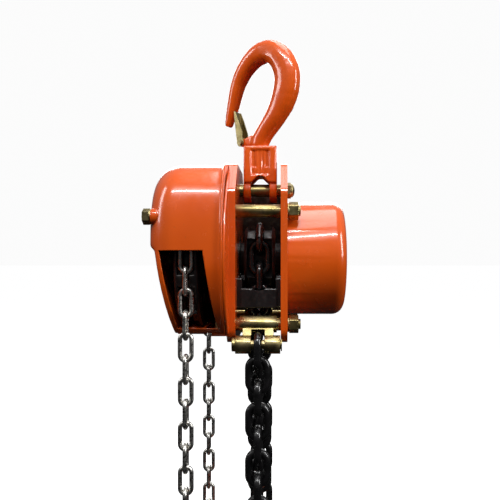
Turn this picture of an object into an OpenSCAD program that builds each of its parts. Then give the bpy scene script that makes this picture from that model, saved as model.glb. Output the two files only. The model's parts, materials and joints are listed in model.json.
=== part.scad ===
// Manual chain hoist: hand wheel, screw brake, two-stage gear train, load sheave, two hooks.
// Frame: +X along the drive shaft towards the gears, +Z up, origin where the top hook bears.

/* [Frame] */
// Height of the drive shaft, measured from the bearing point of the top hook
shaft_z = -255; // [-255:1:-250]
// Gap between the two side plates
plate_gap = 53; // [53:1:54]
// Thickness of each side plate
plate_t = 5; // [5:0.5:6]
// Half width of the side plates, front to rear
plate_half_w = 75; // [74:1:78]
// Front-to-rear offset of the upper stay bolts
stay_y = 65; // [64:1:66]
// Height of the upper stay bolts above the shaft
stay_z_top = 56; // [55:1:58]
// Front-to-rear offset of the lower stay bolts
stay_y_low = 62; // [61:1:63]
// Height of the lower stay bolts relative to the shaft
stay_z_low = -78; // [-80:1:-77]
// Diameter of the stay bolt spacers
stay_d = 15.5; // [15:0.5:16.5]

/* [Covers] */
// Outer radius of the gear cover
gear_cover_r = 72.5; // [72:0.5:73]
// Position of the gear cover's end along the shaft
gear_cover_end = 108; // [92:1:110]
// Outer radius of the hand wheel cover
wheel_cover_r = 117; // [114:0.5:118]
// Position of the hand wheel cover's end face along the shaft
wheel_cover_end = -123; // [-124:1:-122]
// Corner radius of the hand wheel cover's end
wheel_cover_corner = 36; // [30:1:38]
// Wall of the pressed covers
cover_wall = 2.5; // [2:0.1:2.6]

/* [Chains] */
// Wire diameter of the hand chain
hand_wire = 5; // [4.9:0.1:5]
// Pitch of the hand chain
hand_pitch = 25; // [25:1:25]
// Outer width of a hand chain link
hand_link_w = 18; // [17:0.5:18]
// Straight links in each hanging run of the hand chain
hand_run = 15; // [11:2:41]
// Wire diameter of the load chain
load_wire = 9; // [8.8:0.1:9]
// Pitch of the load chain
load_pitch = 27; // [27:1:27]
// Outer width of a load chain link
load_link_w = 30; // [29.6:0.1:30]
// Links of the load chain between the frame and the bottom hook
load_run = 9; // [9:2:21]
// Straight links in the slack run of the load chain
slack_run = 11; // [9:2:21]

/* [Hooks] */
// Angle by which the plane of the top hook is turned from the shaft
hook_turn = 30; // [0:5:60]
// Width of the top yoke
yoke_w = 42.7; // [40:0.5:44]
// Depth of the top yoke
yoke_d = 34; // [32:1:36]
// Diameter of the suspension pin
pin_d = 16; // [14:1:16]

/* [Gears] */
// Module of both gear stages
gear_m = 1.3333; // [1.3333:0.0001:1.3333]
// Teeth of each pinion
pinion_z = 9; // [9:1:9]
// Teeth of each large gear
wheel_z = 45; // [45:1:45]

/* [Hidden] */
$fn = 64;

inner_x = plate_gap / 2;
outer_x = inner_x + plate_t;
plate_top = 116;
plate_bottom = -100;
flange_x = outer_x + 3;
case_back_x = -(outer_x + 5.5);
pin_z = 88;
yoke_top_z = -111;
yoke_arch_z = 105;
yoke_foot_r = 16;
centre_d = gear_m * (pinion_z + wheel_z) / 2;
brake_x = -45;
wheel_x = -80.5;
cover_floor_z = -88;
window_top_z = 9;
cover_slope = 10;
cover_step = 6;
window_bottom_z = cover_floor_z + 7;
window_outline = [[-108, window_top_z], [-59, window_top_z], [-46, window_bottom_z],
    [-92, window_bottom_z]];
load_inner = load_pitch + 1;
hand_inner = hand_pitch + 0.3;
// neighbouring links hinge at the centre of the flat link's end wire
hand_flat = (hand_inner + hand_wire) / 2;
hand_edge = hand_pitch - hand_flat;
load_flat = (load_inner + load_wire) / 2;
load_edge = load_pitch - load_flat;
hand_r = (hand_edge + hand_flat * cos(15)) / sin(15);
hand_edge_r = (hand_flat + hand_edge * cos(15)) / sin(15);
load_r = (load_edge + load_flat * cos(45)) / sin(45);
load_edge_r = (load_flat + load_edge * cos(45)) / sin(45);
slack_width = 2 * load_pitch * cos(30);
anchor_y = -load_r - slack_width;
slack_up = 8;
anchor_link_z = -load_pitch * (slack_run - slack_up + 1);
anchor_z = anchor_link_z + load_inner / 2 - 5.8;
last_link_z = -load_pitch * (4 + load_run);
// the chain pin sits in the round end of the last link
chain_pin_z = last_link_z - (load_inner - load_link_w) / 2 - load_wire;
lower_yoke_top = chain_pin_z + 13.3;
lower_yoke_bottom = lower_yoke_top - 74;
lower_bolts = [[-13, lower_yoke_top - 31.5], [13, lower_yoke_top - 31.5]];
stud_y = 97;
stud_z = 47;
stud_pad_x = -118.5;
floor_slot_y = 55;
guard_y = 52.5;
guard_t = 1.8;
guard_top = 101;
pawl_r = 66;
pawl_angle = 125;
teeth_n = 24;

orange = "orangered";
zinc = "darkkhaki";
steel = "silver";
black = "dimgray";

// ---- helpers ----

module at_shaft() {
    translate([0, 0, shaft_z]) children();
}

// a solid of revolution about the X axis: profile points are [x, radius]
module turned(profile) {
    rotate([0, 90, 0])
        rotate([0, 0, 90])
            rotate_extrude($fn = 96)
                polygon([for (p = profile) [p[1], p[0]]]);
}

module rod_x(x0, x1, r) {
    translate([x0, 0, 0]) rotate([0, 90, 0]) cylinder(h = x1 - x0, r = r);
}

module ring_x(x0, x1, r_in, r_out) {
    difference() {
        rod_x(x0, x1, r_out);
        rod_x(x0 - 1, x1 + 1, r_in);
    }
}

// a plate whose outline is given in [y, z] and which spans x0 to x1
module slab_x(x0, x1, outline) {
    translate([x0, 0, 0])
        rotate([90, 0, 90])
            linear_extrude(height = x1 - x0) polygon(outline);
}

module box(lo, hi) {
    translate(lo) cube(hi - lo);
}

module hex_x(x0, x1, across_flats) {
    translate([x0, 0, 0])
        rotate([0, 90, 0])
            cylinder(h = x1 - x0, r = across_flats / sqrt(3), $fn = 6);
}

function unit(v) = v / norm(v);
function lerp(a, b, t) = a + (b - a) * t;
function arc(c, r, a0, a1, n) =
    [for (i = [0:n]) c + r * [cos(lerp(a0, a1, i / n)), sin(lerp(a0, a1, i / n))]];

// corner of an outline, replaced by an arc of radius r
function corner(a, b, c, r, n = 5) =
    let (
        u = unit(a - b), v = unit(c - b),
        half = acos(u * v) / 2,
        m = b + unit(u + v) * r / sin(half),
        p = b + u * r / tan(half) - m,
        q = b + v * r / tan(half) - m,
        a0 = atan2(p[1], p[0]),
        d = atan2(q[1], q[0]) - a0,
        turn = d > 180 ? d - 360 : d < -180 ? d + 360 : d
    )
    [for (i = [0:n]) m + r * [cos(a0 + turn * i / n), sin(a0 + turn * i / n)]];

function rounded(pts, r) =
    [for (i = [0:len(pts) - 1])
        each corner(pts[(i + len(pts) - 1) % len(pts)], pts[i], pts[(i + 1) % len(pts)], r)];

plate_outline = rounded([
    [-42, plate_top], [-plate_half_w, 80], [-plate_half_w, -88], [-63, plate_bottom],
    [63, plate_bottom], [plate_half_w, -88], [plate_half_w, 80], [42, plate_top]], 12);

module at_stays() {
    for (s = [-1, 1]) {
        translate([0, s * stay_y, stay_z_top]) children();
        translate([0, s * stay_y_low, stay_z_low]) children();
    }
}

// ---- chain links ----

// one welded link, long axis along Z, its opening facing Y
module link(wire, inner_len, width) {
    c = (width - wire) / 2;
    half = (inner_len + wire) / 2 - c;
    for (s = [-1, 1]) {
        translate([s * c, 0, -half]) cylinder(h = 2 * half, r = wire / 2, $fn = 24);
        translate([0, 0, s * half])
            rotate([90, 0, 0])
                rotate([0, 0, s > 0 ? 0 : 180])
                    rotate_extrude(angle = 180, $fn = 48) translate([c, 0]) circle(r = wire / 2, $fn = 24);
    }
}

// link in the YZ plane run: centre at [y, z], heading from +Y; edge-on links are turned 90 degrees
module placed_link(p, heading, edge, wire, inner_len, width) {
    translate([0, p[0], p[1]])
        rotate([heading - 90, 0, 0])
            rotate([0, 0, edge ? 90 : 0])
                link(wire, inner_len, width);
}

module hand_link(p, heading, edge) {
    placed_link(p, heading, edge, hand_wire, hand_inner, hand_link_w);
}

module load_link(p, heading, edge) {
    placed_link(p, heading, edge, load_wire, load_inner, load_link_w);
}

// ---- gears ----

function inv(a) = tan(a) * 180 / PI - a;
function half_tooth(z, r) =
    let (rp = gear_m * z / 2, rb = rp * cos(25), a = acos(min(1, rb / max(r, rb))))
    90 / z - 0.09 / rp * 180 / PI + inv(25) - inv(a);
function gear_outline(z, phase) =
    let (rp = gear_m * z / 2, ra = rp + 0.8 * gear_m, rr = rp - 1.05 * gear_m,
         radii = [rr, lerp(rr, ra, 0.35), lerp(rr, ra, 0.7), ra])
    [for (k = [0:z - 1], s = [-1, 1], i = [0:3])
        let (r = radii[s < 0 ? i : 3 - i], a = phase + k * 360 / z + s * half_tooth(z, r))
        [r * cos(a), r * sin(a)]];

module gear_x(x0, x1, z, phase) {
    slab_x(x0, x1, gear_outline(z, phase));
}

// ---- hooks: built opening downwards, bearing point at the origin, plane XZ ----

// centreline stations of the hook: [across, up, radial height, thickness]
hook_stations = [
    [-51, -78, 8, 12], [-48, -68, 12, 15], [-44, -54, 15, 18], [-39, -36, 17.5, 20.5],
    [-32, -18, 19.5, 22.5], [-20, -1.5, 23, 24], [-3, 10.5, 27, 25], [16, 11, 30, 25.5],
    [32, -2, 33, 26], [40, -24, 35, 26], [36, -50, 34, 25.5], [23, -73, 28, 24.5],
    [8, -91, 23.5, 24], [0, -103, 24, 24], [0, -108, 24, 24]];
hook_n = len(hook_stations);
hook_steps = 3;

function spline(a, b, c, d, t) =
    0.5 * (2 * b + (c - a) * t + (2 * a - 5 * b + 4 * c - d) * t * t + (3 * b - a - 3 * c + d) * t * t * t);
function station(i) = hook_stations[max(0, min(hook_n - 1, i))];
function hook_at(k) =
    let (i = min(hook_n - 2, floor(k / hook_steps)), t = k / hook_steps - i)
    spline(station(i - 1), station(i), station(i + 1), station(i + 2), t);
hook_rings = (hook_n - 1) * hook_steps;
hook_sides = 16;
function hook_ring(k) =
    let (
        s = hook_at(k),
        ahead = hook_at(min(hook_rings, k + 0.5)),
        back = hook_at(max(0, k - 0.5)),
        d = unit([ahead[0] - back[0], ahead[1] - back[1]]),
        n = [-d[1], d[0]]
    )
    [for (j = [0:hook_sides - 1])
        let (
            a = 360 * j / hook_sides,
            w = s[2] / 2 * sign(cos(a)) * pow(abs(cos(a)), 0.85),
            t = s[3] / 2 * sign(sin(a)) * pow(abs(sin(a)), 0.85)
        )
        [s[0] + n[0] * w, t, s[1] + n[1] * w]];

module hook_body() {
    last = hook_rings * hook_sides;
    polyhedron(
        points = [for (k = [0:hook_rings]) each hook_ring(k)],
        faces = concat(
            [for (j = [1:hook_sides - 2]) [0, j + 1, j]],
            [for (k = [0:hook_rings - 1], j = [0:hook_sides - 1], half = [0, 1])
                let (a = k * hook_sides + j, b = k * hook_sides + (j + 1) % hook_sides)
                half == 0 ? [a + hook_sides, b, b + hook_sides] : [a + hook_sides, a, b]],
            [for (j = [1:hook_sides - 2]) [last, last + j, last + j + 1]]));
}

latch_pivot = [-27, -103];
latch_tip = [-36.5, -60];
latch_w = 15;

// the lug on the neck that carries the latch pin
module latch_lug() {
    rotate([90, 0, 0])
        translate([0, 0, -5])
            linear_extrude(height = 10)
                polygon(concat(
                    arc(latch_pivot, 5, 90, 250, 10),
                    [[-8, -107.5], [-2, -107.5], [-2, -92], [-8, -93]]));
}

module hook_shank(depth) {
    translate([0, 0, -depth]) cylinder(h = depth - 105, r = 11);
}

module hook(depth) {
    difference() {
        union() {
            hook_body();
            hook_shank(depth);
            latch_lug();
        }
        translate([latch_pivot[0], 10, latch_pivot[1]]) rotate([90, 0, 0]) cylinder(h = 20, r = 2.05);
    }
}

// pressed sheet latch: a channel with two ears at the pin and a curled end at the tip
module latch() {
    d = unit(latch_tip - latch_pivot);
    n = [d[1], -d[0]];
    side = concat(
        arc(latch_pivot, 5, 180, 350, 10),
        [latch_pivot + 14 * d + 5.5 * n, latch_tip - 10 * d + 3 * n, latch_tip + 1 * n,
         latch_tip - 1.2 * n, latch_pivot + 12 * d - 4.2 * n]);
    difference() {
        rotate([90, 0, 0])
            translate([0, 0, -latch_w / 2])
                linear_extrude(height = latch_w) polygon(side);
        rotate([90, 0, 0])
            translate([0, 0, -latch_w / 2 + 1.5])
                linear_extrude(height = latch_w - 3)
                    polygon([
                        latch_pivot - 8 * d + 12 * n, latch_tip + 4 * d + 12 * n,
                        latch_tip + 4 * d + 0.6 * n, latch_pivot + 14 * d - 2.4 * n,
                        latch_pivot + 6.5 * d - 7 * n, latch_pivot - 8 * d - 7 * n]);
        translate([latch_pivot[0], 10, latch_pivot[1]]) rotate([90, 0, 0]) cylinder(h = 20, r = 2.05);
    }
}

module latch_pin() {
    translate([latch_pivot[0], 9, latch_pivot[1]])
        rotate([90, 0, 0]) {
            cylinder(h = 18, r = 2);
            translate([0, 0, -1.2]) cylinder(h = 1.4, r = 3.4);
            translate([0, 0, 17.8]) cylinder(h = 1.4, r = 3.4);
        }
}

// two coils of the latch spring, one each side of the lug
module latch_spring() {
    for (s = [-1, 1])
        translate([latch_pivot[0], s * 5.5, latch_pivot[1]])
            rotate([90, 0, 0])
                rotate_extrude() translate([2.75, 0]) circle(r = 0.4, $fn = 16);
}

module turned_hook() {
    rotate([0, 0, -hook_turn]) children();
}

module top_hook() {
    color(orange) turned_hook() hook(147);
}

module top_hook_nut() {
    color(steel) translate([0, 0, -148.5]) difference() {
        cylinder(h = 12.5, r = 13);
        translate([0, 0, -1]) cylinder(h = 20, r = 11.01);
    }
}

module top_latch() {
    color(zinc) turned_hook() latch();
}

module top_latch_pin() {
    color(zinc) turned_hook() latch_pin();
}

module top_latch_spring() {
    color(steel) turned_hook() latch_spring();
}

// ---- top yoke and suspension ----

module top_yoke() {
    yoke_top = yoke_top_z - shaft_z;
    leg_in = 12;
    color(orange) at_shaft() difference() {
        intersection() {
            slab_x(-yoke_w / 2, yoke_w / 2, concat(
                arc([0, pin_z], yoke_foot_r, 180, 360, 24),
                rounded([[yoke_d / 2, pin_z + 8], [yoke_d / 2, yoke_top], [-yoke_d / 2, yoke_top],
                    [-yoke_d / 2, pin_z + 8]], 3)));
            translate([0, 0, pin_z - 20])
                linear_extrude(height = 90)
                    polygon(rounded([[-yoke_w / 2, -yoke_d / 2], [yoke_w / 2, -yoke_d / 2],
                        [yoke_w / 2, yoke_d / 2], [-yoke_w / 2, yoke_d / 2]], 4));
        }
        rotate([90, 0, 0])
            translate([0, 0, -30])
                linear_extrude(height = 60)
                    polygon([[-leg_in, pin_z - 30], [leg_in, pin_z - 30], [leg_in, pin_z + 8],
                        [3, yoke_arch_z], [-3, yoke_arch_z], [-leg_in, pin_z + 8]]);
        translate([0, 0, yoke_top - 24]) cylinder(h = 30, r = 11.3);
        translate([0, 0, pin_z]) cylinder(h = yoke_top - 24 - pin_z, r = 13.6);
        translate([0, 0, pin_z]) rod_x(-30, 30, pin_d / 2 + 0.1);
        for (s = [-1, 1], x = [-8, 8])
            translate([x, s * (yoke_d / 2 + 4), yoke_top - 28]) cylinder(h = 22, r = 5.5);
    }
}

module suspension_pin() {
    color(zinc) at_shaft() translate([0, 0, pin_z]) {
        rod_x(-outer_x, flange_x + 7, pin_d / 2);
        rod_x(-outer_x - 3, -outer_x, 11);
    }
}

module suspension_nut() {
    color(zinc) at_shaft() translate([0, 0, pin_z]) difference() {
        union() {
            hex_x(flange_x, flange_x + 5, 18);
            turned([[flange_x + 5, 0], [flange_x + 5, 9], [flange_x + 7, 8.4], [flange_x + 8.6, 6.6],
                [flange_x + 9.6, 4], [flange_x + 10, 0]]);
        }
        rod_x(0, flange_x + 7.1, pin_d / 2 + 0.02);
    }
}

// ---- frame ----

module plate_bores() {
    at_stays() rod_x(-60, 60, 6.05);
    translate([0, 0, pin_z]) rod_x(-60, 60, pin_d / 2 + 0.02);
    rod_x(-60, 60, 28);
}

module side_plate_wheel_side() {
    color(orange) at_shaft() difference() {
        slab_x(-outer_x, -inner_x, plate_outline);
        plate_bores();
        pawl_places() rod_x(-60, 0, 4.02);
    }
}

module side_plate_gear_side() {
    color(orange) at_shaft() difference() {
        slab_x(inner_x, outer_x, plate_outline);
        plate_bores();
        for (s = [-1, 1]) {
            translate([0, s * centre_d, 0]) rod_x(0, 60, 5.05);
            translate([0, 0, s * 50]) rod_x(0, 60, 4.02);
        }
    }
}

module stay_bolts() {
    color(zinc) at_shaft() at_stays() {
        rod_x(-50, 50, 6);
        rod_x(-inner_x, inner_x, stay_d / 2);
    }
}

module stay_nuts() {
    color(zinc) at_shaft() at_stays() {
        for (x = [flange_x + 2, case_back_x - 13])
            difference() {
                hex_x(x, x + 11, 19);
                rod_x(x - 1, x + 12, 6.02);
            }
    }
}

module stay_washers() {
    color(zinc) at_shaft() at_stays() {
        ring_x(flange_x, flange_x + 2, 6.05, 9.5);
        ring_x(case_back_x - 2, case_back_x, 6.05, 9.5);
    }
}

// ---- load sheave ----

module load_sheave() {
    color(black) at_shaft() difference() {
        union() {
            turned([[-outer_x, 9], [-outer_x, 20], [-19, 20], [-19, 38], [-15, 42], [15, 42],
                [19, 38], [19, 20], [outer_x, 20], [outer_x, 14], [48, 14], [48, 9]]);
        }
        turned([[-5.4, 18.8], [-5.4, 50], [5.4, 50], [5.4, 18.8]]);
        for (a = [0:90:270])
            rotate([a, 0, 0])
                box([-15.7, -23.6, load_r - load_wire / 2 - 0.5], [15.7, 23.6, 60]);
    }
}

module sheave_inner_races() {
    color(steel) at_shaft() for (s = [-1, 1])
        difference() {
            ring_x(s * 29 - 2.5, s * 29 + 2.5, 20.01, 22.4);
            rotate([0, 90, 0]) translate([0, 0, s * 29])
                rotate_extrude($fn = 96) translate([24, 0]) circle(r = 2.05, $fn = 32);
        }
}

module sheave_outer_races() {
    color(steel) at_shaft() for (s = [-1, 1])
        difference() {
            ring_x(s * 29 - 2.5, s * 29 + 2.5, 25.4, 27.98);
            rotate([0, 90, 0]) translate([0, 0, s * 29])
                rotate_extrude($fn = 96) translate([24, 0]) circle(r = 2.05, $fn = 32);
        }
}

module sheave_balls() {
    color(steel) at_shaft() for (s = [-1, 1], a = [0:20:340])
        rotate([a, 0, 0]) translate([s * 29, 0, 24]) sphere(r = 1.9, $fn = 24);
}

module sheave_bushes() {
    color("goldenrod") at_shaft() {
        ring_x(-outer_x, -20, 6.56, 8.99);
        ring_x(32, 48, 6.56, 8.99);
    }
}

// ---- chain guiding and the slack end ----

module chain_guide() {
    color(black) at_shaft() difference() {
        union() {
            for (s = [-1, 1])
                slab_x(s > 0 ? 20.5 : -inner_x, s > 0 ? inner_x : -20.5,
                    rounded([[-50, -24], [-50, -60], [50, -60], [50, -24], [30, -24], [24, -30],
                        [-24, -30], [-30, -24]], 2));
            slab_x(-21, 21, rounded([[-13, -60], [13, -60], [13, -46], [-13, -46]], 3));
            slab_x(-21, 21, rounded([[-56, -60], [-49, -60], [-49, -36], [-56, -36]], 2));
        }
        translate([0, -60, -22]) rotate([-90, 0, 0]) cylinder(h = 20, r = 17);
    }
}

module chain_stripper() {
    color(zinc) at_shaft() for (s = [-1, 1]) {
        slab_x(s > 0 ? 16.5 : -inner_x, s > 0 ? inner_x : -16.5,
            rounded([[-58, -62], [-58, -66], [-12, -66], [-12, -62]], 1.5));
    }
}

// sheet guard behind the sheave, flanged against both side plates between the rear stay bolts
module chain_guard() {
    color(black) at_shaft() {
        box([-inner_x, guard_y, -62], [inner_x, guard_y + guard_t, guard_top]);
        for (s = [-1, 1], z = [[-62, 45], [67, 88]])
            box([s > 0 ? inner_x - guard_t : -inner_x, guard_y + guard_t, z[0]],
                [s > 0 ? inner_x : guard_t - inner_x, guard_y + 7, z[1]]);
    }
}

module anchor_bracket() {
    bolt = [stay_y_low * -1, stay_z_low];
    color(zinc) at_shaft() difference() {
        union() {
            translate([0, bolt[0], bolt[1]]) rod_x(-21.8, 21.8, stay_d / 2 + 2.2);
            slab_x(-18, 18, [[-70, -80], [-58, -84], [anchor_y + 8, anchor_z],
                [anchor_y - 7, anchor_z]]);
            translate([0, anchor_y, anchor_z]) rod_x(-26, 26, 10.6);
        }
        translate([0, bolt[0], bolt[1]]) rod_x(-30, 30, stay_d / 2 + 0.1);
        translate([0, anchor_y, anchor_z]) rod_x(-30, 30, 5.55);
        slab_x(-7.9, 7.9, [[-100, -140], [-52, -140], [-60, -87], [-68, -83], [-100, -83]]);
    }
}

module anchor_pin() {
    color(zinc) at_shaft() translate([0, anchor_y, anchor_z]) {
        rod_x(-28, 28, 5.5);
        rod_x(-30, -26, 8);
        rod_x(26.6, 28, 7.5);
    }
}

// ---- gear side ----

module gear_cover() {
    r = gear_cover_r;
    e = gear_cover_end;
    c = 14;
    outer = concat([[flange_x - 1, r]], arc([e - c - 2, r - c], c, 90, 20, 6), [[e, 30], [e + 1.5, 0]]);
    inner = concat([[flange_x - 2, r - cover_wall]], arc([e - c - 2, r - c], c - cover_wall, 90, 20, 6),
        [[e - cover_wall, 30], [e + 1.5 - cover_wall, 0]]);
    color(orange) at_shaft() difference() {
        union() {
            slab_x(outer_x, flange_x, plate_outline);
            turned(concat([[flange_x - 1, 0]], outer));
        }
        turned(concat([[outer_x - 1, 0], [outer_x - 1, r - cover_wall]], inner));
        at_stays() rod_x(0, 60, 6.05);
        translate([0, 0, pin_z]) rod_x(0, 60, pin_d / 2 + 0.02);
    }
}

module gear_end_plate() {
    color(steel) at_shaft() difference() {
        slab_x(67, 71, rounded([[-44, -10], [-14, -60], [14, -60], [44, -10], [44, 10], [14, 60],
            [-14, 60], [-44, 10]], 8));
        rod_x(60, 80, 4.55);
        for (s = [-1, 1]) {
            translate([0, s * centre_d, 0]) rod_x(60, 80, 4.05);
            translate([0, 0, s * 50]) rod_x(60, 80, 4.02);
        }
    }
}

module gear_end_studs() {
    color(steel) at_shaft() for (s = [-1, 1])
        translate([0, 0, s * 50]) {
            rod_x(inner_x, 76, 4);
            rod_x(outer_x, 67, 6);
            hex_x(71, 75.5, 13);
        }
}

module load_gear() {
    color(steel) at_shaft() difference() {
        gear_x(37, 46, wheel_z, 0);
        rod_x(30, 50, 14.02);
    }
}

module load_gear_ring() {
    color(steel) at_shaft() ring_x(46.2, 47.6, 14.02, 17);
}

// phase_small and phase_large turn the teeth so that both meshes have room
module intermediate_gear(phase_small, phase_large) {
    gear_x(36, 48, pinion_z, phase_small);
    gear_x(53, 61, wheel_z, phase_large);
    rod_x(inner_x + 1, 37, 4.95);
    rod_x(47, 54, 4.4);
    rod_x(60, 70.5, 4);
}

module intermediate_gear_rear() {
    color(steel) at_shaft() translate([0, centre_d, 0])
        intermediate_gear(180 + 180 / pinion_z, 180 + 180 / wheel_z);
}

module intermediate_gear_front() {
    color(steel) at_shaft() translate([0, -centre_d, 0]) intermediate_gear(0, 0);
}

module drive_shaft() {
    color(steel) at_shaft() {
        rod_x(-109, 51, 6.5);
        gear_x(51, 63, pinion_z, 0);
        rod_x(62, 72, 4.5);
    }
}

// ---- brake ----

module brake_hub() {
    color(steel) at_shaft() difference() {
        union() {
            rod_x(brake_x, brake_x + 6, 38);
            rod_x(-100, brake_x, 11);
            rod_x(brake_x + 6, brake_x + 11, 16);
        }
        rod_x(-110, 0, 6.52);
    }
}

module friction_discs() {
    color("sienna") at_shaft() {
        ring_x(brake_x - 3, brake_x, 11.1, 37);
        ring_x(brake_x - 12, brake_x - 9, 11.1, 37);
    }
}

module ratchet_disc() {
    teeth = [for (k = [0:teeth_n - 1], i = [0:1])
        let (a = 90 + k * 360 / teeth_n, r = i == 0 ? 50 : 45.5)
        [r * cos(a), r * sin(a)]];
    color(steel) at_shaft() difference() {
        slab_x(brake_x - 8.8, brake_x - 3.2, teeth);
        rod_x(-80, 0, 11.3);
    }
}

module pawl_places() {
    for (a = [0, 180]) rotate([a, 0, 0])
        translate([0, pawl_r * cos(pawl_angle), pawl_r * sin(pawl_angle)]) children();
}

module pawl(turn) {
    p = pawl_r * [cos(pawl_angle), sin(pawl_angle)];
    rotate([turn, 0, 0]) difference() {
        union() {
            slab_x(brake_x - 8.8, brake_x - 3.2,
                [[-0.8, 46.6], [-0.8, 51.5], [-14, 59], p + [0, 7.9], p, [-31, 53]]);
            translate([0, p[0], p[1]]) rod_x(brake_x - 8.8, brake_x - 3.2, 8);
        }
        translate([0, p[0], p[1]]) rod_x(-80, 0, 4.1);
    }
}

module pawl_front() {
    color(steel) at_shaft() pawl(0);
}

module pawl_rear() {
    color(steel) at_shaft() pawl(180);
}

module pawl_pins() {
    color(steel) at_shaft() pawl_places() {
        rod_x(-58, -inner_x, 4);
        rod_x(case_back_x - 2, case_back_x, 7);
        ring_x(-57.5, -56.3, 3.5, 6.5);
    }
}

module pawl_springs() {
    color(steel) at_shaft() pawl_places()
        for (x = [-42.3, -44])
            translate([x, 0, 0]) rotate([0, 90, 0])
                rotate_extrude() translate([5.2, 0]) circle(r = 0.6, $fn = 16);
}

// ---- hand wheel and its case ----

module hand_wheel() {
    x = wheel_x;
    floor_r = hand_r - hand_wire / 2 - 0.4;
    color(black) at_shaft() difference() {
        turned([[-98, 11.05], [-98, 20], [x - 3, 26], [x - 3, 80], [x - 14, 84], [x - 14, 96], [x - 12, 98],
            [x + 12, 98], [x + 14, 96], [x + 14, 84], [x + 5, 78], [x + 5, 38], [-60, 36],
            [brake_x - 12, 36], [brake_x - 12, 11.05]]);
        turned([[x - 3.6, 85.3], [x - 3.6, 101], [x + 3.6, 101], [x + 3.6, 85.3]]);
        for (a = [0:30:330])
            rotate([a, 0, 0]) box([x - 9.8, -18.6, floor_r], [x + 9.8, 18.6, 110]);
        for (a = [15:60:315])
            rotate([a, 0, 0]) translate([0, 0, 54]) rod_x(-110, -40, 13);
    }
}

module hand_wheel_nut() {
    color(zinc) at_shaft() difference() {
        union() {
            hex_x(-108, -102, 19);
            rod_x(-102, -100, 13);
        }
        rod_x(-120, 0, 6.52);
    }
}

module case_bores() {
    at_stays() rod_x(-60, 0, 6.05);
    pawl_places() rod_x(-60, 0, 4.02);
    rod_x(-60, 0, 60);
}

module wheel_case_back() {
    color(orange) at_shaft() difference() {
        union() {
            slab_x(case_back_x, -outer_x, plate_outline);
            difference() {
                rod_x(case_back_x, case_back_x + 2.5, wheel_cover_r);
                box([-60, -150, -150], [0, 150, cover_floor_z]);
            }
        }
        case_bores();
        translate([0, 0, pin_z]) rod_x(-60, -outer_x + 3.2, 11.2);
        for (s = [-1, 1]) translate([0, s * stud_y, stud_z]) rod_x(-60, 0, 3.02);
    }
}

// the drum as a solid, grown inwards by a wall thickness
module drum(wall, x_open) {
    c = wheel_cover_corner - wall;
    e = wheel_cover_end + wall;
    r = wheel_cover_r - wall;
    difference() {
        turned(concat([[x_open, 0], [x_open, r]], arc([e + c, r - c], c, 90, 180, 8), [[e, 0]]));
        box([-200, -200, -200], [0, 200, cover_floor_z + wall]);
        translate([e + cover_step, 0, window_top_z + 3])
            rotate([0, -cover_slope, 0]) box([-100, -200, -200], [0, 200, 0]);
    }
}

module hand_wheel_cover() {
    color(orange) at_shaft() difference() {
        union() {
            drum(0, case_back_x - 0.05);
            intersection() {
                for (s = [-1, 1]) translate([0, s * stud_y, stud_z]) rod_x(stud_pad_x, -90, 9);
                rod_x(-130, 0, wheel_cover_r - 0.6);
            }
        }
        drum(cover_wall, case_back_x + 10);
        box([wheel_x - 16.5, -floor_slot_y, cover_floor_z - 1],
            [wheel_x + 16.5, floor_slot_y, cover_floor_z + 5]);
        for (s = [-1, 1]) translate([0, s * stay_y_low, stay_z_low]) rod_x(-54, -30, 12.3);
        for (s = [-1, 1]) {
            translate([0, s > 0 ? 150 : -48, 0])
                rotate([90, 0, 0]) linear_extrude(height = 102) polygon(window_outline);
            translate([0, s * stud_y, stud_z]) rod_x(-130, 0, 3.02);
        }
    }
}

module cover_studs() {
    color(zinc) at_shaft() for (s = [-1, 1])
        translate([0, s * stud_y, stud_z]) {
            rod_x(stud_pad_x - 10.5, case_back_x + 2.5, 3);
        }
}

module cover_nuts() {
    color(zinc) at_shaft() for (s = [-1, 1])
        translate([0, s * stud_y, stud_z]) difference() {
            union() {
                hex_x(stud_pad_x - 9, stud_pad_x - 1.5, 16);
                rod_x(stud_pad_x - 1.5, stud_pad_x, 8.6);
            }
            rod_x(-140, 0, 3.02);
        }
}

// ---- chains ----

module hand_chain_on_wheel() {
    color(steel) at_shaft() translate([wheel_x, 0, 0])
        for (k = [0:12])
            let (edge = k % 2 == 1, r = edge ? hand_edge_r : hand_r)
            hand_link(r * [cos(k * 15), sin(k * 15)], k * 15 + 90, edge);
}

module hand_chain_loop() {
    color(steel) at_shaft() translate([wheel_x, 0, 0]) {
        for (s = [-1, 1], k = [1:hand_run])
            hand_link([s * hand_r, -k * hand_pitch], 90, k % 2 == 1);
        for (k = [1:11])
            let (edge = (hand_run + k) % 2 == 1, r = edge ? hand_edge_r : hand_r)
            hand_link([r * cos(k * 15), -hand_run * hand_pitch - r * sin(k * 15)], 90 - k * 15, edge);
    }
}

module load_chain_on_sheave() {
    color(black) at_shaft()
        for (k = [0:4])
            let (edge = k % 2 == 1, r = edge ? load_edge_r : load_r)
            load_link(r * [cos(k * 45), sin(k * 45)], k * 45 + 90, edge);
}

module load_chain_slack() {
    low = -slack_run * load_pitch;
    d1 = [cos(210), sin(210)];
    d2 = [cos(150), sin(150)];
    p1 = [-load_r, low - load_edge] + load_flat * d1;
    p2 = p1 + load_flat * d1 + load_edge * d2;
    color(black) at_shaft() {
        for (k = [1:slack_run]) load_link([-load_r, -k * load_pitch], 90, k % 2 == 1);
        load_link(p1, 210, false);
        load_link(p2, 150, true);
        for (k = [0:slack_up - 1]) load_link([anchor_y, low + k * load_pitch], 90, k % 2 == 1);
    }
}

module load_chain_exit() {
    color(black) at_shaft()
        for (k = [1:4]) load_link([load_r, -k * load_pitch], 90, k % 2 == 1);
}

module load_chain_strand() {
    color(black) at_shaft()
        for (k = [5:4 + load_run]) load_link([load_r, -k * load_pitch], 90, k % 2 == 1);
}

// ---- bottom hook set ----

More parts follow.
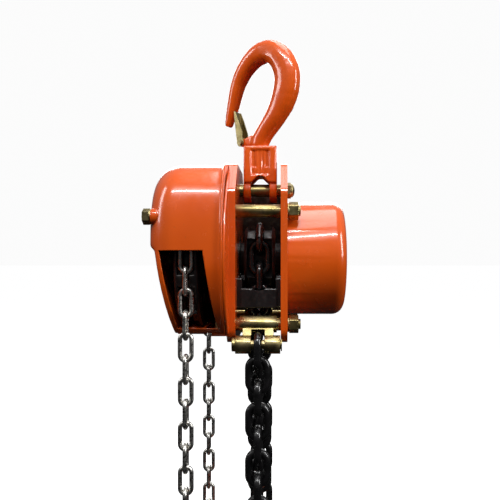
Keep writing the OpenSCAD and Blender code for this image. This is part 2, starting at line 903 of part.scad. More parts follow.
module on_strand() {
    translate([0, load_r, shaft_z]) children();
}

module lower_yoke_half(s) {
    top = lower_yoke_top;
    bottom = lower_yoke_bottom;
    color(orange) on_strand() difference() {
        slab_x(s > 0 ? 0.1 : -22, s > 0 ? 22 : -0.1,
            rounded([[-17, top - 10], [-10, top], [10, top], [17, top - 10],
                [21, bottom + 10], [16, bottom], [-16, bottom], [-21, bottom + 10]], 4));
        box([-5.2, -30, chain_pin_z - 16], [5.2, 30, top + 5]);
        box([-8.5, -30, top - 2.5], [8.5, 30, top + 5]);
        translate([0, 0, chain_pin_z]) rod_x(-16, 16, 6.02);
        translate([0, 0, bottom - 1]) cylinder(h = 30, r = 11.3);
        translate([0, 0, bottom + 18]) cylinder(h = 20, r = 17.4);
        for (p = lower_bolts) translate([0, p[0], p[1]]) rod_x(-30, 30, 3.02);
    }
}

module lower_yoke_left() {
    lower_yoke_half(-1);
}

module lower_yoke_right() {
    lower_yoke_half(1);
}

module lower_yoke_bolts() {
    color(zinc) on_strand() for (p = lower_bolts)
        translate([0, p[0], p[1]]) {
            rod_x(-26, 27, 3);
            hex_x(-26.5, -22, 10);
            hex_x(22, 26.5, 10);
        }
}

module chain_pin() {
    color(steel) on_strand() translate([0, 0, chain_pin_z]) rod_x(-15.9, 15.9, 5.9);
}

module lower_hook_place() {
    on_strand() translate([0, 0, lower_yoke_bottom])
        rotate([0, 180, 0]) translate([0, 0, -yoke_top_z]) children();
}

module lower_hook() {
    color(orange) lower_hook_place() {
        hook(145);
        translate([0, 0, -144.9]) cylinder(h = 8, r = 16.5);
    }
}

module lower_latch() {
    color(zinc) lower_hook_place() latch();
}

module lower_latch_pin() {
    color(zinc) lower_hook_place() latch_pin();
}

module lower_latch_spring() {
    color(steel) lower_hook_place() latch_spring();
}

module thrust_bearing() {
    color(steel) on_strand() translate([0, 0, lower_yoke_bottom + 18]) difference() {
        cylinder(h = 7.4, r = 16.5);
        translate([0, 0, -1]) cylinder(h = 20, r = 11.05);
    }
}

top_hook();
top_hook_nut();
top_latch();
top_latch_pin();
top_latch_spring();
top_yoke();
suspension_pin();
suspension_nut();
side_plate_wheel_side();
side_plate_gear_side();
stay_bolts();
stay_nuts();
stay_washers();
load_sheave();
sheave_inner_races();
sheave_outer_races();
sheave_balls();
sheave_bushes();
chain_guide();
chain_stripper();
chain_guard();
anchor_bracket();
anchor_pin();
gear_cover();
gear_end_plate();
gear_end_studs();
load_gear();
load_gear_ring();
intermediate_gear_front();
intermediate_gear_rear();
drive_shaft();
brake_hub();
friction_discs();
ratchet_disc();
pawl_front();
pawl_rear();
pawl_pins();
pawl_springs();
hand_wheel();
hand_wheel_nut();
wheel_case_back();
hand_wheel_cover();
cover_studs();
cover_nuts();
hand_chain_on_wheel();
hand_chain_loop();
load_chain_on_sheave();
load_chain_slack();
load_chain_exit();
load_chain_strand();
lower_yoke_left();
lower_yoke_right();
lower_yoke_bolts();
chain_pin();
lower_hook();
lower_latch();
lower_latch_pin();
lower_latch_spring();
thrust_bearing();
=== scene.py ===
import json
import math

import bmesh
import bpy
import numpy as np
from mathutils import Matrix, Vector, noise


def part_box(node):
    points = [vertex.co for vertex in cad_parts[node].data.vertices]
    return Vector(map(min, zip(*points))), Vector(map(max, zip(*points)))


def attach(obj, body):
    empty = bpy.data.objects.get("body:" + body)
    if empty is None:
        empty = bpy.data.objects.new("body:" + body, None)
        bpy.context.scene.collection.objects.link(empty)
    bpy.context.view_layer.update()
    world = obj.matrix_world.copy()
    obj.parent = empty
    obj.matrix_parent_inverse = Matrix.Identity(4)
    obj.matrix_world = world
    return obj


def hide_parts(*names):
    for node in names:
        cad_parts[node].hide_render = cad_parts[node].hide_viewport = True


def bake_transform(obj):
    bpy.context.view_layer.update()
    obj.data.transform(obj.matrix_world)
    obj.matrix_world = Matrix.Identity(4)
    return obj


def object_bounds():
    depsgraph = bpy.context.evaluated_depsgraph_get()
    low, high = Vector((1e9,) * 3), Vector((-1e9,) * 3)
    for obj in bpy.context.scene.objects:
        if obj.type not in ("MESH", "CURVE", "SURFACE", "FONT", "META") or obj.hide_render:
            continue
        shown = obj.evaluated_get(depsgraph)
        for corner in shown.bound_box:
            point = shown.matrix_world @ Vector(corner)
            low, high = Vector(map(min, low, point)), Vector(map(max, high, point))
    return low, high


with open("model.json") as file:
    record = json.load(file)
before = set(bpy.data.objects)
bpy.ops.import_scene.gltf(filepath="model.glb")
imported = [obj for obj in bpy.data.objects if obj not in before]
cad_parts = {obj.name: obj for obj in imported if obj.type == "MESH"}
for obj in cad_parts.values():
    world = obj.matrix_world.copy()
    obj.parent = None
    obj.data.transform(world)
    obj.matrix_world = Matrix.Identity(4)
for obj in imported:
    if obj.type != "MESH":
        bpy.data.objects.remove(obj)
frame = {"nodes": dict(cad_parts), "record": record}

CAD_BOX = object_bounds()
NODES = frame["nodes"]
SLOT_OF = {row["node"]: row["material_slot"] for row in frame["record"]["subparts"]}
BODY_OF = {n: b for b, ns in frame["record"]["behaviour"]["bodies"].items() for n in ns}
MM = 0.001
SHAFT_Z = -0.255            # height of the load sheave's shaft
WELD_DISTANCE = 0.01 * MM   # joins the doubled points of the imported meshes


# ---------------------------------------------------------------- materials

class Nodes:
    """A short way to write a material's node tree."""

    def __init__(self, name):
        self.mat = bpy.data.materials.new(name)
        self.mat.use_nodes = True
        self.tree = self.mat.node_tree
        self.bsdf = self.tree.nodes["Principled BSDF"]
        self.coord = self.add("ShaderNodeTexCoord").outputs["Object"]

    def add(self, kind, **props):
        node = self.tree.nodes.new(kind)
        for key, value in props.items():
            setattr(node, key, value)
        return node

    def link(self, out, to):
        self.tree.links.new(out, to)

    def noise(self, scale, detail=3.0, rough=0.5, stretch=None):
        node = self.add("ShaderNodeTexNoise")
        node.inputs["Scale"].default_value = scale
        node.inputs["Detail"].default_value = detail
        node.inputs["Roughness"].default_value = rough
        source = self.coord
        if stretch:
            place = self.add("ShaderNodeMapping")
            place.inputs["Scale"].default_value = stretch
            self.link(self.coord, place.inputs["Vector"])
            source = place.outputs["Vector"]
        self.link(source, node.inputs["Vector"])
        return node.outputs["Fac"]

    def ramp(self, fac, stops):
        node = self.add("ShaderNodeValToRGB")
        points = node.color_ramp.elements
        while len(points) < len(stops):
            points.new(0.5)
        for point, (pos, colour) in zip(points, stops):
            point.position = pos
            point.color = (*colour, 1.0)
        self.link(fac, node.inputs["Fac"])
        return node.outputs["Color"]

    def span(self, fac, low, high, lo_in=0.3, hi_in=0.7):
        node = self.add("ShaderNodeMapRange")
        node.inputs["From Min"].default_value = lo_in
        node.inputs["From Max"].default_value = hi_in
        node.inputs["To Min"].default_value = low
        node.inputs["To Max"].default_value = high
        self.link(fac, node.inputs["Value"])
        return node.outputs["Result"]

    def mix(self, fac, a, b):
        node = self.add("ShaderNodeMix", data_type="RGBA")
        self.link(fac, node.inputs["Factor"])
        for value, socket in ((a, node.inputs["A"]), (b, node.inputs["B"])):
            if isinstance(value, tuple):
                socket.default_value = (*value, 1.0)
            else:
                self.link(value, socket)
        return node.outputs["Result"]

    def edges(self, low=0.52, high=0.6):
        """White on worn convex edges, broken up by noise."""
        geo = self.add("ShaderNodeNewGeometry").outputs["Pointiness"]
        sharp = self.span(geo, 0.0, 1.0, low, high)
        patch = self.span(self.noise(160, 4), 0.0, 1.0, 0.5, 0.72)
        both = self.add("ShaderNodeMath", operation="MULTIPLY")
        self.link(sharp, both.inputs[0])
        self.link(patch, both.inputs[1])
        return both.outputs["Value"]

    def bump(self, height, distance, strength=1.0, normal=None):
        node = self.add("ShaderNodeBump")
        node.inputs["Strength"].default_value = strength
        node.inputs["Distance"].default_value = distance
        self.link(height, node.inputs["Height"])
        if normal is not None:
            self.link(normal, node.inputs["Normal"])
        return node.outputs["Normal"]

    def put(self, **values):
        names = {"colour": "Base Color", "rough": "Roughness", "normal": "Normal",
                 "metal": "Metallic", "coat": "Coat Weight", "coat_rough": "Coat Roughness",
                 "specular": "Specular IOR Level"}
        for key, value in values.items():
            socket = self.bsdf.inputs[names[key]]
            if isinstance(value, bpy.types.NodeSocket):
                self.link(value, socket)
            else:
                socket.default_value = value
        return self.mat


def enamel(name, peel, lumps):
    """Gloss orange paint: orange peel, faint unevenness, dust and worn edges."""
    n = Nodes(name)
    body = n.ramp(n.noise(14, 4), [(0.3, (0.63, 0.077, 0.004)), (0.72, (0.74, 0.104, 0.006))])
    specks = n.span(n.noise(420, 2), 0.0, 1.0, 0.70, 0.78)
    dusty = n.mix(specks, body, (0.52, 0.09, 0.01))
    worn = n.mix(n.edges(0.56, 0.68), dusty, (0.34, 0.08, 0.03))
    normal = n.bump(n.noise(230, 2), 0.00002 * peel, 0.8)
    normal = n.bump(n.noise(45, 3), 0.0003 * lumps, 0.8, normal)
    return n.put(colour=worn, rough=n.span(n.noise(60, 3), 0.16, 0.28), normal=normal,
                 coat=0.6, coat_rough=0.05, specular=0.5)


def yellow_zinc(name):
    """Chromated zinc plate: gold with olive and rosy patches, fine drawn lines."""
    n = Nodes(name)
    patches = n.ramp(n.noise(38, 5, 0.6), [
        (0.28, (0.20, 0.17, 0.07)), (0.45, (0.36, 0.29, 0.12)),
        (0.58, (0.44, 0.36, 0.18)), (0.75, (0.36, 0.24, 0.12))])
    grime = n.span(n.noise(110, 4), 0.0, 0.6, 0.56, 0.75)
    colour = n.mix(grime, patches, (0.10, 0.08, 0.04))
    lines = n.noise(900, 2, 0.5, (0.04, 1.0, 1.0))
    return n.put(colour=colour, metal=1.0, rough=n.span(n.noise(90, 3), 0.22, 0.42),
                 normal=n.bump(lines, 0.00003, 0.6))


def bright_zinc(name):
    """Plated chain wire: grey-white with darker pores and soft grain."""
    n = Nodes(name)
    base = n.ramp(n.noise(150, 5, 0.6), [(0.3, (0.52, 0.51, 0.48)), (0.7, (0.88, 0.86, 0.81))])
    stain = n.mix(n.span(n.noise(60, 4), 0.0, 0.55, 0.55, 0.75), base, (0.30, 0.27, 0.22))
    return n.put(colour=stain, metal=1.0, rough=n.span(n.noise(300, 3), 0.20, 0.42),
                 normal=n.bump(n.noise(600, 3), 0.00006, 0.7))


def black_gloss(name):
    """Black chain lacquer with rubbed spots and a thin oily coat."""
    n = Nodes(name)
    base = n.ramp(n.noise(80, 4), [(0.3, (0.003, 0.003, 0.003)), (0.75, (0.009, 0.008, 0.009))])
    rubbed = n.mix(n.span(n.noise(210, 4), 0.0, 0.4, 0.68, 0.8), base, (0.06, 0.055, 0.05))
    return n.put(colour=rubbed, rough=n.span(n.noise(120, 3), 0.16, 0.34),
                 normal=n.bump(n.noise(420, 3), 0.00008, 0.7), coat=0.4, coat_rough=0.08)


def black_iron(name):
    """Black painted casting with a pebbled skin."""
    n = Nodes(name)
    base = n.ramp(n.noise(70, 4), [(0.3, (0.005, 0.004, 0.004)), (0.75, (0.016, 0.012, 0.013))])
    worn = n.mix(n.edges(), base, (0.12, 0.11, 0.10))
    normal = n.bump(n.noise(330, 3), 0.00025, 0.7)
    return n.put(colour=worn, rough=n.span(n.noise(130, 3), 0.28, 0.5), normal=normal,
                 coat=0.15, coat_rough=0.2)


def oiled_steel(name):
    """Machined steel under an oil film, with turning marks."""
    n = Nodes(name)
    base = n.ramp(n.noise(45, 4), [(0.3, (0.33, 0.32, 0.30)), (0.7, (0.58, 0.57, 0.55))])
    film = n.mix(n.span(n.noise(24, 3), 0.0, 0.4, 0.5, 0.7), base, (0.20, 0.15, 0.09))
    marks = n.noise(1400, 2, 0.5, (1.0, 0.06, 0.06))
    return n.put(colour=film, metal=1.0, rough=n.span(n.noise(120, 3), 0.2, 0.38),
                 normal=n.bump(marks, 0.00003, 0.6))


def bronze(name):
    """Sintered bronze: open pores and dark oil."""
    n = Nodes(name)
    base = n.ramp(n.noise(500, 3), [(0.35, (0.16, 0.09, 0.03)), (0.6, (0.50, 0.32, 0.13))])
    return n.put(colour=base, metal=1.0, rough=n.span(n.noise(200, 3), 0.35, 0.55),
                 normal=n.bump(n.noise(700, 2), 0.00008, 0.7))


def lining(name):
    """Pressed friction lining: brown fibres and brass chips."""
    n = Nodes(name)
    base = n.ramp(n.noise(260, 5, 0.7), [(0.35, (0.07, 0.035, 0.02)), (0.7, (0.20, 0.11, 0.06))])
    chips = n.mix(n.span(n.noise(520, 2), 0.0, 1.0, 0.70, 0.74), base, (0.6, 0.42, 0.15))
    return n.put(colour=chips, rough=0.8, normal=n.bump(n.noise(500, 4), 0.0002, 0.7))


MATERIALS = {
    "orange_enamel": enamel("orange_enamel", 1.0, 0.25),
    "zinc_yellow": yellow_zinc("yellow_zinc"),
    "zinc_bright": bright_zinc("bright_zinc"),
    "black_chain": black_gloss("black_chain"),
    "black_iron": black_iron("black_iron"),
    "steel": oiled_steel("oiled_steel"),
    "bronze": bronze("sintered_bronze"),
    "friction": lining("friction_lining"),
}
FORGED = enamel("orange_enamel_forged", 1.0, 1.6)
PRESSED = enamel("orange_enamel_pressed", 1.0, 0.5)


# ---------------------------------------------------------------- carried-over CAD nodes

def soften(obj, width, segments=2):
    """Weld the imported corners, round the edges and even out the shading."""
    if not width:
        return
    weld = obj.modifiers.new("weld", "WELD")
    weld.merge_threshold = WELD_DISTANCE
    bevel = obj.modifiers.new("bevel", "BEVEL")
    bevel.width = width
    bevel.segments = segments
    bevel.limit_method = "ANGLE"
    bevel.angle_limit = math.radians(32)
    bevel.use_clamp_overlap = True
    bevel.harden_normals = True


# edge rounding of each finish, in mm; the thin sheets get less
EDGE = {"orange_enamel": 0.8, "zinc_yellow": 0.5, "zinc_bright": 0.0, "black_chain": 0.0,
        "black_iron": 1.0, "steel": 0.25, "bronze": 0.2, "friction": 0.3}
THIN = ("top_latch", "lower_latch", "chain_stripper", "gear_end_plate")
THIN_EDGE = 0.3


def dress_cad_nodes():
    """Give each CAD node its finish and rounded edges."""
    for name, obj in NODES.items():
        slot = SLOT_OF[name]
        obj.data.materials.clear()
        obj.data.materials.append(MATERIALS[slot])
        width = THIN_EDGE if name in THIN else EDGE[slot]
        soften(obj, width * MM)


# ---------------------------------------------------------------- pieces made for the looks

def new_piece(name, mesh, material, body, slot, *replaced):
    """A smooth-shaded piece that rides on a body and stands for the nodes named last."""
    obj = bpy.data.objects.new(name, mesh)
    bpy.context.scene.collection.objects.link(obj)
    mesh.materials.clear()
    mesh.materials.append(material)
    for poly in mesh.polygons:
        poly.use_smooth = True
    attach(obj, body)
    if replaced:
        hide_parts(*replaced)
    return obj


def applied(obj):
    """The object's mesh with its modifiers applied, as a new mesh."""
    graph = bpy.context.evaluated_depsgraph_get()
    return bpy.data.meshes.new_from_object(obj.evaluated_get(graph))


def forged_mesh(node, voxel, passes):
    """The CAD node's shape with forged fillets: remeshed finely, then relaxed."""
    source = NODES[node]
    work = bpy.data.objects.new("work", source.data.copy())
    bpy.context.scene.collection.objects.link(work)
    weld = work.modifiers.new("weld", "WELD")
    weld.merge_threshold = WELD_DISTANCE
    grid = work.modifiers.new("grid", "REMESH")
    grid.mode = "VOXEL"
    grid.voxel_size = voxel
    relax = work.modifiers.new("relax", "SMOOTH")
    relax.factor = 0.5
    relax.iterations = passes
    mesh = applied(work)
    bpy.data.objects.remove(work)
    return mesh


def points_of(mesh):
    """The mesh's points and their normals, read once."""
    count = len(mesh.vertices)
    co = np.empty(count * 3, dtype=np.float64)
    nor = np.empty(count * 3, dtype=np.float64)
    mesh.vertices.foreach_get("co", co)
    mesh.vertices.foreach_get("normal", nor)
    return co.reshape(-1, 3), nor.reshape(-1, 3)


def put_points(mesh, co, node):
    """Write the points back, kept inside the CAD node's own box."""
    low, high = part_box(node)
    co = np.clip(co, np.array(low), np.array(high))
    mesh.vertices.foreach_set("co", co.reshape(-1))
    mesh.update()


def grain(co, scale):
    """Smooth noise at each point."""
    return np.array([noise.noise(Vector(p) * scale) for p in co])


HOOK_VOXEL = 1.1 * MM
HOOK_RELAX = 22
HOOK_SWELL = ((60, 0.28), (170, 0.10))      # noise scale and height in mm


def forge_hook(node):
    """A hook with soft fillets and the slight swells of a drop forging."""
    mesh = forged_mesh(node, HOOK_VOXEL, HOOK_RELAX)
    co, nor = points_of(mesh)
    swell = sum(grain(co, scale) * height for scale, height in HOOK_SWELL)
    put_points(mesh, co + nor * (swell * MM)[:, None], node)
    return new_piece(node + "_forging", mesh, FORGED, BODY_OF[node], SLOT_OF[node], node)


YOKE_VOXEL = 0.8 * MM
YOKE_RELAX = 7
YOKE_RIM = 0.62             # where the recess starts, as a part of the half width
YOKE_RIM_EASE = 0.10
YOKE_RECESS_LOW = 33 * MM   # from the yoke's lowest point
YOKE_RECESS_HIGH = 4 * MM   # from its highest point
YOKE_RECESS_EASE = 3 * MM
YOKE_RECESS = 1.5           # mean depth in mm
YOKE_RIBS = 1.3             # how far the ribs vary it
YOKE_GRAIN = 0.18


def forge_yoke():
    """Cast yoke with a recessed, ribbed middle on its front and back faces."""
    node = "top_yoke"
    low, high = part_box(node)
    middle = (low + high) / 2
    mesh = forged_mesh(node, YOKE_VOXEL, YOKE_RELAX)
    co, nor = points_of(mesh)
    side = np.abs(nor[:, 1])
    x = np.abs(co[:, 0] - middle.x) / ((high.x - low.x) / 2)
    rim = np.clip((YOKE_RIM - x) / YOKE_RIM_EASE, 0, 1)
    tall = np.clip((co[:, 2] - low.z - YOKE_RECESS_LOW) / YOKE_RECESS_EASE, 0, 1)
    top = np.clip((high.z - YOKE_RECESS_HIGH - co[:, 2]) / YOKE_RECESS_EASE, 0, 1)
    ribs = np.array([noise.noise(Vector((p[0] * 420, p[1] * 10, p[2] * 30))) for p in co])
    recess = rim * tall * top * (YOKE_RECESS + YOKE_RIBS * ribs) * side
    depth = np.where(side > 0.4, recess, 0)
    co[:, 1] -= np.sign(co[:, 1] - middle.y) * depth * MM
    co += nor * (grain(co, 150) * YOKE_GRAIN * MM)[:, None]
    put_points(mesh, co, node)
    return new_piece("top_yoke_casting", mesh, FORGED, BODY_OF[node], SLOT_OF[node], node)


def block(name, low, high):
    """A box used only to cut with."""
    mesh = bpy.data.meshes.new(name)
    corners = [(x, y, z)
               for x in (low[0], high[0])
               for y in (low[1], high[1])
               for z in (low[2], high[2])]
    faces = [(0, 1, 3, 2), (4, 6, 7, 5), (0, 4, 5, 1), (2, 3, 7, 6), (0, 2, 6, 4), (1, 5, 7, 3)]
    mesh.from_pydata(corners, [], faces)
    return mesh


def prism_y(name, outline, y0, y1):
    """An outline in X and Z, drawn out along Y, used only to cut with."""
    count = len(outline)
    mesh = bpy.data.meshes.new(name)
    points = [(x, y, z) for y in (y0, y1) for x, z in outline]
    sides = [(i, (i + 1) % count, count + (i + 1) % count, count + i) for i in range(count)]
    mesh.from_pydata(points, [], sides + [tuple(range(count))[::-1], tuple(range(count, 2 * count))])
    return mesh


def carve(mesh, cutters, wall):
    """Give a skin its wall thickness, then cut it."""
    work = bpy.data.objects.new("work", mesh)
    bpy.context.scene.collection.objects.link(work)
    shell = work.modifiers.new("wall", "SOLIDIFY")
    shell.thickness = wall
    shell.offset = -1
    tools = []
    for cutter in cutters:
        bm = bmesh.new()
        bm.from_mesh(cutter)
        bmesh.ops.recalc_face_normals(bm, faces=bm.faces)
        bm.to_mesh(cutter)
        bm.free()
        tool = bpy.data.objects.new("tool", cutter)
        bpy.context.scene.collection.objects.link(tool)
        cut = work.modifiers.new("cut", "BOOLEAN")
        cut.object = tool
        cut.solver = "EXACT"
        tools.append(tool)
    done = applied(work)
    for obj in [work] + tools:
        bpy.data.objects.remove(obj)
    return done


# The pressed cover. WINDOW is X and Z from the shaft, in mm.
WINDOW = [(-108, 9), (-59, 9), (-46, -81), (-92, -81)]
WINDOW_Y = (48 * MM, 150 * MM)      # the window is cut between these, on both sides
COVER_SHEET = 1.8 * MM
COVER_CORNER = 33 * MM              # radius of the shoulder round the flat end
COVER_RIM = 3.2 * MM                # how far the rolled rim stands out
COVER_LEDGE_Z = SHAFT_Z + 12 * MM   # below this the end steps in and slopes
COVER_STEP = 8 * MM
COVER_STEP_EASE = 3 * MM
COVER_SLOPE = math.tan(math.radians(10))
COVER_SQUARE = 3.6                  # superellipse power of the upper half; 2 is round
COVER_ROUND = 2.0
COVER_SQUARE_FROM = 40 * MM         # nearer the middle than this it turns round
COVER_TURNS = 288
WALL_ROWS = 26
CORNER_ROWS = 18
END_ROWS = 24
RIM_FLAT = 5 * MM                   # the rim's part that isn't relaxed
SLOT_BELOW = 3 * MM                 # floor slots are cut from below the floor
SLOT_ABOVE = 5 * MM
WHEEL_SLOT_X = (-97 * MM, -64 * MM)
WHEEL_SLOT_Y = 55 * MM
NUT_SLOT_X = (-54 * MM, -30 * MM)
NUT_SLOT_Y = 62 * MM
NUT_SLOT_HALF = 10.5 * MM
PAD_CENTRE = (-109 * MM, 97 * MM, SHAFT_Z + 47 * MM)
PAD_RINGS = [(9, 9.6), (-7, 9.6), (-8.6, 9.2), (-9.5, 8.4)]     # X and radius, in mm


def cover_profile(rim_x, end_x, wall_half):
    """The cover's section: X, and how far its outline is drawn in from the wall."""
    rim = [(0.0, 14), (0.0, 6), (0.0, -1.5), (0.0, -2.7), (0.6, -3.2), (1.4, -3.2), (2.0, -2.7),
           (2.2, -1.6), (2.8, -0.6), (4.0, 0.0)]
    profile = [(rim_x - back * MM, inset * MM) for back, inset in rim]
    wall_x = profile[-1][0]
    run = wall_x - (end_x + COVER_CORNER)
    profile += [(wall_x - run * i / WALL_ROWS, 0.0) for i in range(1, WALL_ROWS + 1)]
    for i in range(1, CORNER_ROWS + 1):
        a = math.pi / 2 * i / CORNER_ROWS
        profile.append((end_x + COVER_CORNER * (1 - math.sin(a)), COVER_CORNER * (1 - math.cos(a))))
    # the end bulges by 0.4 mm
    for i in range(1, END_ROWS):
        t = i / END_ROWS
        profile.append((end_x + 0.4 * MM * (1 - t), COVER_CORNER + (wall_half - COVER_CORNER) * t))
    return profile


def cover_ring(x, size, end_x, floor):
    """One turn of the cover's outline, squared above the shaft, cut flat at the floor."""
    power = COVER_ROUND + (COVER_SQUARE - COVER_ROUND) * min(1.0, size / COVER_SQUARE_FROM)
    ring = []
    for k in range(COVER_TURNS):
        a = 2 * math.pi * k / COVER_TURNS
        across, up = math.cos(a), math.sin(a)
        n = power if up > 0 else COVER_ROUND
        r = size / (abs(across) ** n + abs(up) ** n) ** (1 / n)
        z = max(SHAFT_Z + r * up, floor)
        below = COVER_LEDGE_Z - z
        if below > 0:
            step = COVER_STEP * min(1.0, below / COVER_STEP_EASE)
            ring.append((max(x, end_x + step + COVER_SLOPE * below), r * across, z))
        else:
            ring.append((x, r * across, z))
    return ring


def cover_skin(profile, end_x, floor, wall_half, rim_x):
    """The cover's outer face, closed at its end."""
    points = []
    for x, inset in profile:
        points += cover_ring(x, wall_half - inset, end_x, floor)
    rows = len(profile)
    faces = []
    for row in range(rows - 1):
        here, ahead = row * COVER_TURNS, (row + 1) * COVER_TURNS
        for k in range(COVER_TURNS):
            n = (k + 1) % COVER_TURNS
            faces.append((here + k, here + n, ahead + n, ahead + k))
    faces.append(tuple((rows - 1) * COVER_TURNS + k for k in range(COVER_TURNS)))
    skin = bpy.data.meshes.new("cover_skin")
    skin.from_pydata(points, [], faces)
    bm = bmesh.new()
    bm.from_mesh(skin)
    bmesh.ops.remove_doubles(bm, verts=bm.verts, dist=0.15 * MM)
    bmesh.ops.recalc_face_normals(bm, faces=bm.faces)
    inner = [v for v in bm.verts if v.co.x < rim_x - RIM_FLAT]
    for _ in range(4):
        bmesh.ops.smooth_vert(bm, verts=inner, factor=0.5,
                              use_axis_x=True, use_axis_y=True, use_axis_z=True)
    bm.to_mesh(skin)
    bm.free()
    return skin


def press_cover():
    """The pressed hand wheel cover: squared shoulders, rolled rim, stepped lower half."""
    node = "hand_wheel_cover"
    low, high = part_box(node)
    rim_x, end_x, floor = high.x - 0.2 * MM, low.x, low.z
    wall_half = high.y - COVER_RIM
    profile = cover_profile(rim_x, end_x, wall_half)
    skin = cover_skin(profile, end_x, floor, wall_half, rim_x)
    outline = [(x * MM, SHAFT_Z + z * MM) for x, z in WINDOW]
    cutters = [prism_y("window", outline, s * WINDOW_Y[0], s * WINDOW_Y[1]) for s in (-1, 1)]
    slot_z = (floor - SLOT_BELOW, floor + SLOT_ABOVE)
    cutters.append(block("wheel_slot", (WHEEL_SLOT_X[0], -WHEEL_SLOT_Y, slot_z[0]),
                         (WHEEL_SLOT_X[1], WHEEL_SLOT_Y, slot_z[1])))
    for s in (-1, 1):
        y = s * NUT_SLOT_Y
        cutters.append(block("nut_slot", (NUT_SLOT_X[0], y - NUT_SLOT_HALF, slot_z[0]),
                             (NUT_SLOT_X[1], y + NUT_SLOT_HALF, slot_z[1])))
    mesh = carve(skin, cutters, COVER_SHEET)
    for s in (-1, 1):
        centre = Vector((PAD_CENTRE[0], s * PAD_CENTRE[1], PAD_CENTRE[2]))
        pad = lathe_x([centre + Vector((x * MM, 0, 0)) for x, _ in PAD_RINGS],
                      [radius * MM for _, radius in PAD_RINGS])
        bm = bmesh.new()
        bm.from_mesh(mesh)
        bm.from_mesh(pad)
        bm.to_mesh(mesh)
        bm.free()
    return new_piece("hand_wheel_cover_pressing", mesh, PRESSED, BODY_OF[node], SLOT_OF[node], node)


def join_strand():
    """The strand's links as a smooth-shaded piece of their own in the black chain finish, standing
    for the hidden CAD node.
    """
    mesh = NODES["load_chain_strand"].data.copy()
    links = bpy.data.objects.new("load_chain_strand_links", mesh)
    bpy.context.scene.collection.objects.link(links)
    mesh.materials.clear()
    mesh.materials.append(MATERIALS["black_chain"])
    for poly in mesh.polygons:
        poly.use_smooth = True
    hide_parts("load_chain_strand")
    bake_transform(links)


def lathe_x(centres, radii, sides=40):
    """A solid of revolution about a line along X."""
    mesh = bpy.data.meshes.new("lathe")
    bm = bmesh.new()
    turn = [2 * math.pi * k / sides for k in range(sides)]
    rings = [[bm.verts.new(c + Vector((0, r * math.cos(a), r * math.sin(a)))) for a in turn]
             for c, r in zip(centres, radii)]
    for a, b in zip(rings, rings[1:]):
        for k in range(sides):
            n = (k + 1) % sides
            bm.faces.new((a[k], a[n], b[n], b[k]))
    bm.faces.new(rings[0][::-1])
    bm.faces.new(rings[-1])
    bmesh.ops.recalc_face_normals(bm, faces=bm.faces)
    bm.to_mesh(mesh)
    bm.free()
    return mesh


# ---------------------------------------------------------------- stage, lights and camera

def plane(name, corners, colour, glow):
    """A flat stage sheet, matte, with a glow of its own."""
    mesh = bpy.data.meshes.new(name)
    mesh.from_pydata(corners, [], [(0, 1, 2, 3)])
    obj = bpy.data.objects.new(name, mesh)
    bpy.context.scene.collection.objects.link(obj)
    mat = bpy.data.materials.new(name)
    mat.use_nodes = True
    bsdf = mat.node_tree.nodes["Principled BSDF"]
    bsdf.inputs["Base Color"].default_value = (*colour, 1)
    bsdf.inputs["Roughness"].default_value = 0.9
    bsdf.inputs["Emission Color"].default_value = (1, 1, 1, 1)
    bsdf.inputs["Emission Strength"].default_value = glow
    mesh.materials.append(mat)
    return obj


def softbox(name, place, target, size_x, size_y, power):
    """A rectangular light turned to a target."""
    data = bpy.data.lights.new(name, "AREA")
    data.shape = "RECTANGLE"
    data.size = size_x
    data.size_y = size_y
    data.energy = power
    obj = bpy.data.objects.new(name, data)
    bpy.context.scene.collection.objects.link(obj)
    obj.location = place
    obj.rotation_euler = (Vector(target) - Vector(place)).to_track_quat("-Z", "Y").to_euler()
    return obj


FLOOR_Z = CAD_BOX[0][2] - 0.05
FLOOR_HALF = 30.0
FLOOR_GLOW = 0.84
# grey of the room that the enamel mirrors, from below (0) to straight up (1)
ROOM_LOW = (0.012, 0.012, 0.012, 1)
ROOM_STOPS = ((0.42, 0.015), (0.54, 0.08), (0.80, 0.30))
ROOM_HIGH = (0.40, 0.40, 0.41, 1)
BACKDROP = (0.97, 0.97, 0.97, 1)


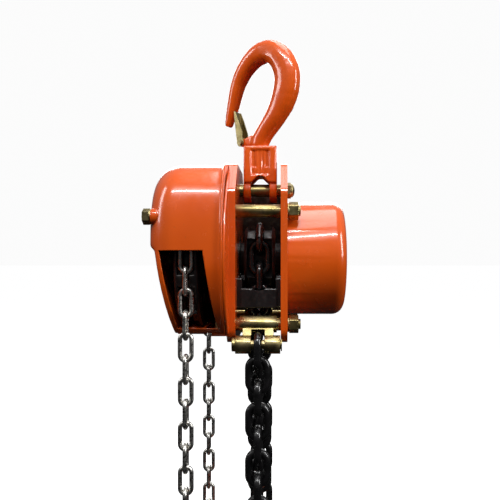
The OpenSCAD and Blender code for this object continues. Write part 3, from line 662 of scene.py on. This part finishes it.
def build_stage():
    """Pale floor and backdrop, a dim room for the reflections, and the softboxes."""
    s = FLOOR_HALF
    corners = [(-s, -s, FLOOR_Z), (s, -s, FLOOR_Z), (s, s, FLOOR_Z), (-s, s, FLOOR_Z)]
    floor = plane("floor", corners, (0.5, 0.5, 0.5), FLOOR_GLOW)
    floor.visible_diffuse = False
    floor.visible_glossy = False
    world = bpy.data.worlds.new("studio")
    bpy.context.scene.world = world
    world.use_nodes = True
    tree = world.node_tree
    back = tree.nodes["Background"]
    coord = tree.nodes.new("ShaderNodeTexCoord")
    split = tree.nodes.new("ShaderNodeSeparateXYZ")
    tree.links.new(coord.outputs["Generated"], split.inputs[0])
    lift = tree.nodes.new("ShaderNodeMapRange")
    lift.inputs["From Min"].default_value = -1.0
    tree.links.new(split.outputs["Z"], lift.inputs["Value"])
    ramp = tree.nodes.new("ShaderNodeValToRGB")
    points = ramp.color_ramp.elements
    for pos, grey in ROOM_STOPS:
        point = points.new(pos)
        point.color = (grey, grey, grey, 1)
    points[0].color = ROOM_LOW
    points[-1].color = ROOM_HIGH
    tree.links.new(lift.outputs["Result"], ramp.inputs[0])
    path = tree.nodes.new("ShaderNodeLightPath")
    pick = tree.nodes.new("ShaderNodeMix")
    pick.data_type = "RGBA"
    tree.links.new(path.outputs["Is Camera Ray"], pick.inputs["Factor"])
    tree.links.new(ramp.outputs[0], pick.inputs["A"])
    pick.inputs["B"].default_value = BACKDROP
    tree.links.new(pick.outputs["Result"], back.inputs["Color"])
    back.inputs["Strength"].default_value = 1.0
    aim = (-0.02, 0, SHAFT_Z)
    softbox("key", (-0.10, -0.95, 0.85), aim, 1.3, 0.07, 15)
    softbox("top", (0.15, 0.0, 1.3), aim, 1.4, 0.8, 13)
    softbox("right", (1.3, -0.6, 0.25), aim, 0.25, 0.9, 13)
    softbox("left", (-1.3, -0.3, 0.4), aim, 0.25, 0.9, 5)
    softbox("back_fill", (0.0, 1.4, 0.5), aim, 1.4, 0.8, 14)
    bpy.context.scene.view_settings.view_transform = "Standard"


def build_camera():
    """The photograph's view: level with the shaft, from the front."""
    data = bpy.data.cameras.new("camera")
    data.lens = 38.1
    data.sensor_width = 36.0
    data.shift_x = -0.064
    data.shift_y = 0.010
    cam = bpy.data.objects.new("camera", data)
    bpy.context.scene.collection.objects.link(cam)
    cam.location = (0.028, -0.691, SHAFT_Z + 0.004)
    cam.rotation_euler = (math.radians(90), 0, 0)
    bpy.context.scene.camera = cam


forge_hook("top_hook")
forge_hook("lower_hook")
forge_yoke()
press_cover()
join_strand()
dress_cad_nodes()
build_stage()
build_camera()
